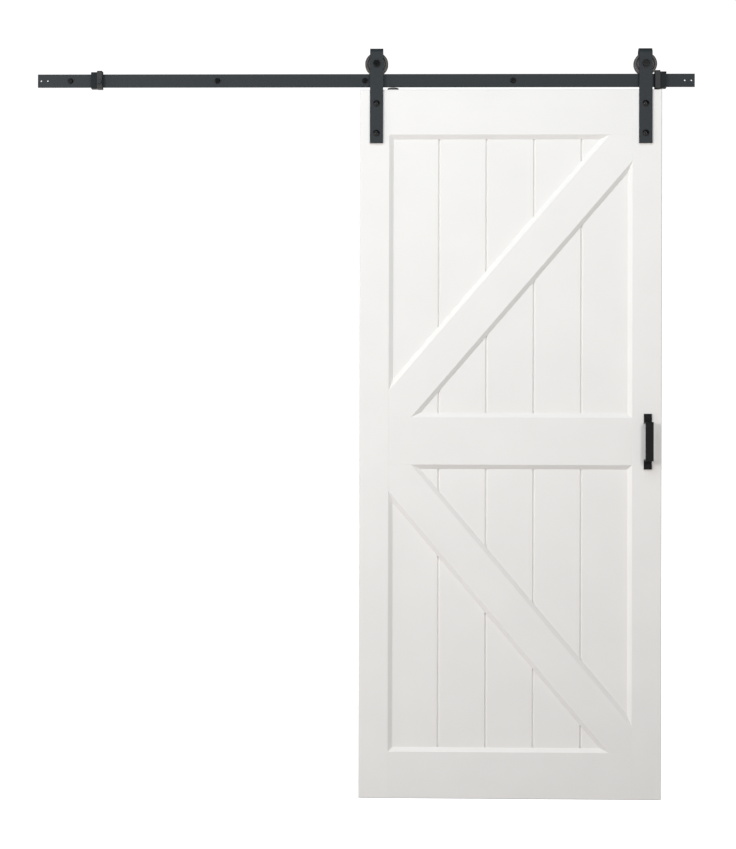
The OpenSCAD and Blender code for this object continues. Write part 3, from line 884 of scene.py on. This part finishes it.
class BARN_DOOR_OT_stops(bpy.types.Operator):
    """Build both end stops: steel block, rubber buffer, pins and clamp screws"""

    bl_idname = "barn_door.stops"
    bl_label = "End stops"

    def execute(self, context):
        edges = context.scene.barn_door.edges
        colour = tuple(context.scene.barn_door.finish.buffer_rubber)
        rubber = moulded_rubber("moulded rubber", colour, 0.8 * MM, 0.66)
        coat, black = stop_coat_painted_shade(context), fastener_zinc(context)
        for side in ("left", "right"):
            block, pad = f"{side}_stop_block", f"{side}_stop_buffer"
            trace(block, f"{side}_block", edges.stop, coat, "track")
            trace(pad, f"{side}_buffer", edges.stop, rubber, "track")
        trace("buffer_pins", "block_pins", edges.fastener, zinc(context), "track")
        trace("stop_grub_screws", "clamp_screws", edges.fastener / 2, black, "track")
        self.face_screw(context, edges)
        return {"FINISHED"}

    def face_screw(self, context, edges):
        """Builds the hexagonal screw in the left buffer's face."""
        x, z, seat, head_height, _, across, tail = headed("left_buffer_screw", "left_stop_buffer")[0]
        screw = bmesh.new()
        hex_bar(screw, facing(x, seat, z, False), across, head_height)
        eased(screw, edges.fastener)
        turned_bar(screw, facing(x, seat, z, True), [(M8_CREST, -INTO_HEAD), (M8_CREST, tail - seat)])
        coat = rail_coat(context)
        put("buffer_face_screw", screw, coat, "track", ["left_buffer_screw"])


# ---------- hangers ----------


class BARN_DOOR_OT_hangers(bpy.types.Operator):
    """Build the two strap hangers that are bent over the wheels"""

    bl_idname = "barn_door.hangers"
    bl_label = "Strap hangers"

    def execute(self, context):
        edges = context.scene.barn_door.edges
        coat = rail_coat(context)
        for side in ("left", "right"):
            trace(f"{side}_strap", f"{side}_hanger", edges.plate, coat, "door")
        return {"FINISHED"}


class BARN_DOOR_OT_axles(bpy.types.Operator):
    """Build the axle bolts with their threads, lock nuts and bearing sleeves"""

    bl_idname = "barn_door.axles"
    bl_label = "Axles"

    def execute(self, context):
        edges = context.scene.barn_door.edges
        black = fastener_zinc(context)
        mesh = bmesh.new()
        bolts = headed("axle_bolts", "left_strap")
        for x, z, seat, head_height, _, across, _ in bolts:
            hex_bar(mesh, facing(x, seat, z, False), across, head_height)
        eased(mesh, 1.4 * edges.fastener)
        nut_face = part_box("axle_nuts")[0][1]
        for x, z, seat, _, _, _, tail in bolts:
            plain, whole = nut_face - seat - 1 * MM, tail - seat
            thread = (M12_CREST, M12_ROOT, M12_PITCH)
            machine_shank(mesh, facing(x, seat, z, True), plain, whole, *thread, 0.8 * MM, 0.3 * MM)
        put("axle_screws", mesh, black, "door", ["axle_bolts"])
        trace("axle_nuts", "axle_lock_nuts", edges.fastener, black, "door")
        trace("axle_sleeves", "bearing_sleeves", edges.fastener, zinc(context), "door")
        return {"FINISHED"}


class BARN_DOOR_OT_strap_bolts(bpy.types.Operator):
    """Build the domed bolts that hold the hangers to the leaf, with their washers and nuts"""

    bl_idname = "barn_door.strap_bolts"
    bl_label = "Strap bolts"

    def execute(self, context):
        edges = context.scene.barn_door.edges
        black = fastener_zinc(context)
        rim, soft = 1.0 * MM, 0.4 * MM
        nut_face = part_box("strap_nuts")[0][1]
        mesh = bmesh.new()
        for x, z, seat, head_height, across, _, tail in headed("strap_bolts", "left_strap"):
            reach = across / 2
            rise = head_height - rim
            ball = (reach**2 + rise**2) / (2 * rise)
            dome = [(reach - soft, 0.0), (reach, soft), (reach, rim)]
            for i in range(1, DOME_RINGS + 1):
                lean = math.asin(reach / ball) * (1 - i / DOME_RINGS)
                dome.append((ball * math.sin(lean), head_height - ball * (1 - math.cos(lean))))
            turned_bar(mesh, facing(x, seat, z, False), dome, DOME_STEPS)
            plain, whole = nut_face - seat - 3 * MM, tail - seat
            thread = (M8_CREST, M8_ROOT, M8_PITCH)
            machine_shank(mesh, facing(x, seat, z, True), plain, whole, *thread, 0.5 * MM, 0.2 * MM)
        put("hanger_bolts", mesh, black, "door", ["strap_bolts"])
        trace("strap_nuts", "hanger_nuts", edges.fastener, black, "door")
        trace("strap_washers", "hanger_washers", edges.fastener, black, "door")
        return {"FINISHED"}


class BARN_DOOR_OT_rollers(bpy.types.Operator):
    """Build both grooved wheels with their ball bearings"""

    bl_idname = "barn_door.rollers"
    bl_label = "Rollers"

    def execute(self, context):
        edges = context.scene.barn_door.edges
        seal = moulded_rubber("nitrile bearing seal", linear("161616"), 0.6 * MM, 0.55)
        nylon, steel = wheel_nylon(context), ground_steel(context)
        thin = edges.fastener / 2
        for side in ("left", "right"):
            body, bearing = f"{side}_roller", f"{side}_bearing"
            trace(f"{side}_wheel", f"{side}_grooved_wheel", 2 * edges.fastener, nylon, body)
            trace(f"{bearing}_outer_ring", f"{side}_outer_race", thin, steel, body, 2)
            trace(f"{bearing}_inner_ring", f"{side}_inner_race", thin, steel, "door", 2)
            trace(f"{bearing}_shields", f"{side}_seals", thin, seal, body, 2)
            balls = bmesh.new()
            for low, high in solids_of(f"{bearing}_balls"):
                middle = Matrix.Translation((low + high) / 2)
                radius = (high.x - low.x) / 2
                bmesh.ops.create_icosphere(balls, subdivisions=3, radius=radius, matrix=middle)
            put(f"{side}_balls", balls, steel, body, [f"{bearing}_balls"])
        return {"FINISHED"}


# ---------- leaf ----------


class BARN_DOOR_OT_leaf_frame(bpy.types.Operator):
    """Build the stiles and cross rails with their bevelled inner edges, and the dowels that join them"""

    bl_idname = "barn_door.leaf_frame"
    bl_label = "Leaf frame"

    def execute(self, context):
        wood = context.scene.barn_door.edges.wood
        boards = {
            "left_stile": "upright",
            "right_stile": "upright",
            "top_rail": "level",
            "mid_rail": "level",
            "bottom_rail": "level",
        }
        for node, grain in boards.items():
            trace(node, f"{node}_board", wood, enamel(context, grain), "door")
        beech = bare_beech("bare beech", linear("C79F73"))
        trace("frame_dowels", "joint_dowels", 2 * wood, beech, "door")
        return {"FINISHED"}


class BARN_DOOR_OT_braces(bpy.types.Operator):
    """Build the two braces of the K"""

    bl_idname = "barn_door.braces"
    bl_label = "Braces"

    def execute(self, context):
        wood = context.scene.barn_door.edges.wood
        for node, grain in (("upper_brace", "rising"), ("lower_brace", "falling")):
            trace(node, f"{node}_board", wood, enamel(context, grain), "door")
        return {"FINISHED"}


class BARN_DOOR_OT_planks(bpy.types.Operator):
    """Build the tongued and grooved planks behind the braces"""

    bl_idname = "barn_door.planks"
    bl_label = "Planks"

    def execute(self, context):
        plank = context.scene.barn_door.edges.plank
        for node in sorted(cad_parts):
            if "_plank_" in node:
                trace(node, f"{node}_board", plank, enamel(context, "upright"), "door")
        return {"FINISHED"}


class BARN_DOOR_OT_pull_handle(bpy.types.Operator):
    """Build the pull handle bent from flat bar, and its screws"""

    bl_idname = "barn_door.pull_handle"
    bl_label = "Pull handle"

    def execute(self, context):
        edges = context.scene.barn_door.edges
        coat, black = handle_coat(context), fastener_zinc(context)
        trace("pull_handle", "bar_pull", edges.handle, coat, "door")
        trace("handle_screws", "bar_pull_screws", edges.fastener / 2, black, "door", 2)
        return {"FINISHED"}


class BARN_DOOR_OT_anti_jump_discs(bpy.types.Operator):
    """Build the discs that keep the wheels on the rail, and their screws"""

    bl_idname = "barn_door.anti_jump_discs"
    bl_label = "Anti-jump discs"

    def execute(self, context):
        edges = context.scene.barn_door.edges
        nylon = moulded_rubber("moulded black nylon", linear("232324"), 0.7 * MM, 0.5)
        bright = zinc(context)
        trace("anti_jump_discs", "guard_discs", edges.stop, nylon, "door")
        trace("disc_screws", "guard_disc_screws", edges.fastener / 2, bright, "door", 2)
        return {"FINISHED"}


# ---------- studio ----------


def softbox(name, target, azimuth, elevation, distance, size, power, colour):
    """Hangs a soft light so many degrees left of and above the front, aimed at a target."""
    turn, lift = math.radians(azimuth), math.radians(elevation)
    aim = Vector((-math.sin(turn) * math.cos(lift), -math.cos(turn) * math.cos(lift), math.sin(lift)))
    data = bpy.data.lights.new(name, "AREA")
    data.shape = "RECTANGLE"
    data.size, data.size_y = size
    data.energy = power
    data.color = colour[:3]
    lamp = bpy.data.objects.new(name, data)
    turned = aim.to_track_quat("Z", "Y").to_matrix().to_4x4()
    lamp.matrix_world = Matrix.Translation(target + aim * distance) @ turned
    bpy.context.scene.collection.objects.link(lamp)


class BARN_DOOR_OT_stage(bpy.types.Operator):
    """Set up the pale floor, the soft studio light and the camera"""

    bl_idname = "barn_door.stage"
    bl_label = "Stage"

    def execute(self, context):
        studio = context.scene.barn_door.studio
        low, high = Vector(CAD_BOX[0]), Vector(CAD_BOX[1])
        self.lay_floor(context, low.z - studio.floor_gap)
        self.light_room(context)
        centre = (low + high) / 2
        softbox("key_light", centre, 32, 12, 4.6, (1.1, 1.1), studio.key_power, linear("FFF9F9"))
        softbox("side_light", centre, 70, 10, 4.0, (2.4, 2.6), studio.side_power, linear("FFFAFA"))
        softbox("fill_light", centre, -22, 14, 4.6, (0.7, 0.7), studio.fill_power, linear("FFF8F4"))
        softbox("top_light", centre, 5, 46, 4.6, (3.4, 2.0), studio.top_power, linear("E4F5FF"))
        self.set_camera(context)
        return {"FINISHED"}

    def lay_floor(self, context, height):
        """Lays a large plain pale floor."""
        mesh = bmesh.new()
        bmesh.ops.create_grid(mesh, x_segments=2, y_segments=2, size=FLOOR_HALF_WIDTH)
        bmesh.ops.translate(mesh, verts=mesh.verts, vec=(0.0, 0.0, height))
        data = bpy.data.meshes.new("studio_floor")
        mesh.to_mesh(data)
        mesh.free()
        floor = bpy.data.objects.new("studio_floor", data)
        context.scene.collection.objects.link(floor)
        material, tree = start_material("pale seamless floor")
        # Overexposed studio paper: it looks white to its far end but sends no light up to the door.
        shader = add(
            tree,
            "ShaderNodeBsdfPrincipled",
            sockets={
                "Base Color": linear("F7F7F7"),
                "Roughness": 0.8,
                "Emission Color": linear("FFFFFF"),
                "Emission Strength": 1.0,
            },
        )
        end_material(tree, shader)
        data.materials.append(material)
        floor.visible_diffuse = False
        floor.visible_shadow = False

    def light_room(self, context):
        """Fills the room with even light and leaves its far walls white."""
        world = bpy.data.worlds.new("white studio")
        world.use_nodes = True
        tree = world.node_tree
        tree.nodes.clear()
        even = add(
            tree,
            "ShaderNodeBackground",
            sockets={"Color": linear("FFFFFF"), "Strength": context.scene.barn_door.studio.ambient},
        )
        white = add(tree, "ShaderNodeBackground", sockets={"Color": linear("FFFFFF"), "Strength": 1.05})
        seen = add(tree, "ShaderNodeLightPath")
        both = add(
            tree,
            "ShaderNodeMixShader",
            links={
                "Fac": seen.outputs["Is Camera Ray"],
                1: even.outputs["Background"],
                2: white.outputs["Background"],
            },
        )
        add(tree, "ShaderNodeOutputWorld", links={"Surface": both.outputs["Shader"]})
        context.scene.world = world
        context.scene.view_settings.view_transform = "Standard"

    def set_camera(self, context):
        """Stands the camera in front of the rail, a little right of its middle, at half the leaf's height."""
        yaw, pitch, roll = map(math.radians, (CAMERA_YAW, CAMERA_PITCH, CAMERA_ROLL))
        turn = (
            Matrix.Rotation(-yaw, 4, "Z")
            @ Matrix.Rotation(math.pi / 2 + pitch, 4, "X")
            @ Matrix.Rotation(roll, 4, "Z")
        )
        data = bpy.data.cameras.new("studio_camera")
        data.sensor_fit = "HORIZONTAL"
        data.sensor_width = SENSOR_WIDTH
        data.lens = LENS
        data.shift_x, data.shift_y = LENS_SHIFT
        data.clip_end = 200.0
        camera = bpy.data.objects.new("studio_camera", data)
        camera.matrix_world = Matrix.Translation(CAMERA_PLACE) @ turn
        context.scene.collection.objects.link(camera)
        context.scene.camera = camera


# ---------- panel and registration ----------

OPERATORS = (
    BARN_DOOR_OT_stage,
    BARN_DOOR_OT_rail,
    BARN_DOOR_OT_wall_fixings,
    BARN_DOOR_OT_stops,
    BARN_DOOR_OT_hangers,
    BARN_DOOR_OT_axles,
    BARN_DOOR_OT_strap_bolts,
    BARN_DOOR_OT_rollers,
    BARN_DOOR_OT_leaf_frame,
    BARN_DOOR_OT_braces,
    BARN_DOOR_OT_planks,
    BARN_DOOR_OT_pull_handle,
    BARN_DOOR_OT_anti_jump_discs,
)


class BARN_DOOR_PT_panel(bpy.types.Panel):
    """Lists the settings and the pieces of the barn door"""

    bl_idname = "BARN_DOOR_PT_panel"
    bl_label = "Sliding Barn Door"
    bl_space_type = "VIEW_3D"
    bl_region_type = "UI"
    bl_category = "Barn Door"

    def draw(self, context):
        layout = self.layout
        settings = context.scene.barn_door
        for group in (settings.finish, settings.edges, settings.studio):
            box = layout.box()
            for name in group.bl_rna.properties.keys():
                if name not in ("rna_type", "name"):
                    box.prop(group, name)
        for operator in OPERATORS:
            layout.operator(operator.bl_idname)


CLASSES = (
    BarnDoorFinish,
    BarnDoorEdges,
    BarnDoorStudio,
    BarnDoorSettings,
    *OPERATORS,
    BARN_DOOR_PT_panel,
)


def register():
    """Registers the classes and the scene's settings."""
    for cls in CLASSES:
        bpy.utils.register_class(cls)
    bpy.types.Scene.barn_door = PointerProperty(type=BarnDoorSettings)


def unregister():
    """Removes the scene's settings and the classes."""
    del bpy.types.Scene.barn_door
    for cls in reversed(CLASSES):
        bpy.utils.unregister_class(cls)


def main():
    """Builds the whole scene."""
    register()
    for operator in OPERATORS:
        group, name = operator.bl_idname.split(".")
        getattr(getattr(bpy.ops, group), name)()


if __name__ == "__main__":
    main()
